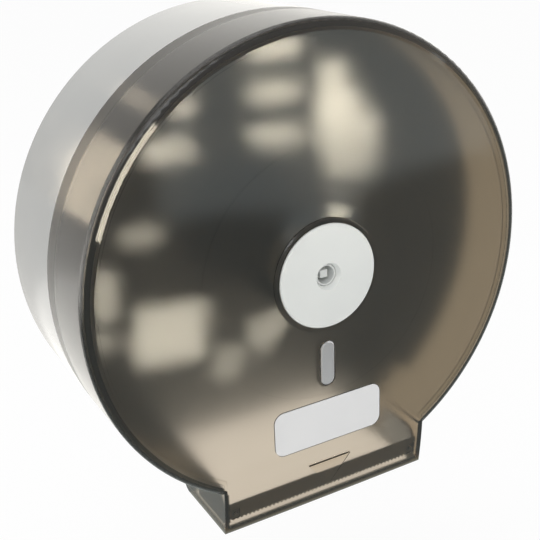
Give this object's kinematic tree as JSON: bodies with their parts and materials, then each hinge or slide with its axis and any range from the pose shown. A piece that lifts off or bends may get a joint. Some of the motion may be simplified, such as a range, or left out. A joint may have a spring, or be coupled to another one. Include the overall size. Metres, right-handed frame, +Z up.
{
  "type": "jumbo toilet roll dispenser",
  "caption": "Wall dispenser for a jumbo toilet roll: round casing, hinged smoked cover with a keyed plug lock, free-turning roll hub and serrated tear bar.",
  "frame": {"origin": "the roll axis where it meets the wall", "axes": "+X right as seen from the front, +Y into the wall, +Z up"},
  "size_m": [0.27, 0.1194, 0.279],
  "materials": {
    "casing_grey": "satin-gloss moulded ABS",
    "smoked_cover": "smoked translucent, fine frosted inside face",
    "white_plastic": "satin moulded",
    "lock_plastic": "satin moulded",
    "label_white": "smooth, bare",
    "clear_lens": "clear, bevelled",
    "dark_plastic": "fine matt moulded",
    "tear_bar_grey": "dark moulded, serrated edge",
    "nylon": "natural nylon",
    "steel": "zinc plated"
  },
  "bodies": {
    "casing": {"rear_casing": "casing_grey", "spindle_post": "casing_grey", "spindle_screws": "steel", "spindle_cap": "white_plastic", "cap_screws": "steel", "hub_washer": "nylon", "hinge_pin_left": "steel", "hinge_pin_right": "steel"},
    "hub": {"roll_hub": "dark_plastic"},
    "cover": {"front_cover": "smoked_cover", "centre_disc": "white_plastic", "level_window": "clear_lens", "label_plate": "label_white", "tear_bar": "tear_bar_grey", "tear_bar_screws": "steel", "lock_retainer": "white_plastic", "retainer_screws": "steel", "lock_washer": "nylon"},
    "lock": {"lock_barrel": "lock_plastic", "lock_bar": "steel", "lock_bar_screw": "steel"}
  },
  "joints": [
    {"name": "cover_hinge", "type": "hinge", "parent": "casing", "child": "cover", "pos_m": [0, -0.0624, -0.1375], "axis": [1, 0, 0], "range_deg": [0, 100]},
    {"name": "hub_spin", "type": "hinge", "parent": "casing", "child": "hub", "pos_m": [0, -0.05, 0], "axis": [0, 1, 0], "continuous": true},
    {"name": "lock_turn", "type": "hinge", "parent": "cover", "child": "lock", "pos_m": [0, -0.1, 0], "axis": [0, 1, 0], "range_deg": [0, 90]}
  ]
}
